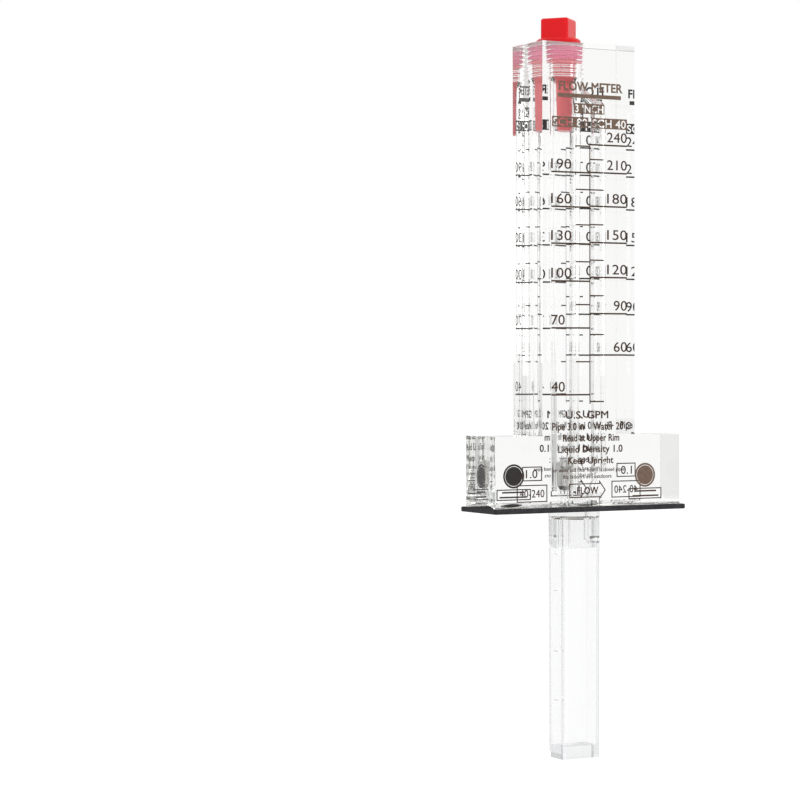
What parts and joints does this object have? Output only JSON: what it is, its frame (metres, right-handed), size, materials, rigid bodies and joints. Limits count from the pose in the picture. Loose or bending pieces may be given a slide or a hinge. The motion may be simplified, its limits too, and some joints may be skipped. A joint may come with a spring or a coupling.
{
  "type": "pitot tube flow meter",
  "caption": "Clear acrylic variable-area flow meter with a printed scale, red top plug, foam saddle gasket and a clear pitot tube that reaches into the pipe.",
  "frame": {"origin": "middle of the gasket's underside, where the meter sits on the pipe", "axes": "+X along the pipe, the way the liquid flows; +Z away from the pipe, up the column; the scale is read from -Y"},
  "size_m": [0.07, 0.0216, 0.2322],
  "materials": {
    "clear_body": "polished clear acrylic",
    "clear_tube": "moulded clear plastic",
    "black_foam": "closed-cell foam with a matte skin",
    "red_plastic": "moulded, slightly glossy",
    "float_steel": "turned stainless steel",
    "front_ink": "dark brown print",
    "rear_ink": "dark brown print"
  },
  "bodies": {
    "meter": {"meter_body": "clear_body", "gasket": "black_foam", "top_plug": "red_plastic", "pitot_tube": "clear_tube", "pitot_adapter": "clear_tube", "front_scale_lines": "front_ink", "front_label_boxes": "front_ink", "front_flow_arrow": "front_ink", "front_round_mark": "front_ink", "front_field_frames": "front_ink", "rear_scale_lines": "rear_ink", "rear_label_boxes": "rear_ink", "rear_flow_arrow": "rear_ink", "rear_round_mark": "rear_ink", "rear_field_frames": "rear_ink"},
    "float": {"float": "float_steel"}
  },
  "joints": [
    {"name": "float_rise", "type": "slide", "parent": "meter", "child": "float", "axis": [0, 0, 1], "range_m": [0, 0.1033]}
  ]
}
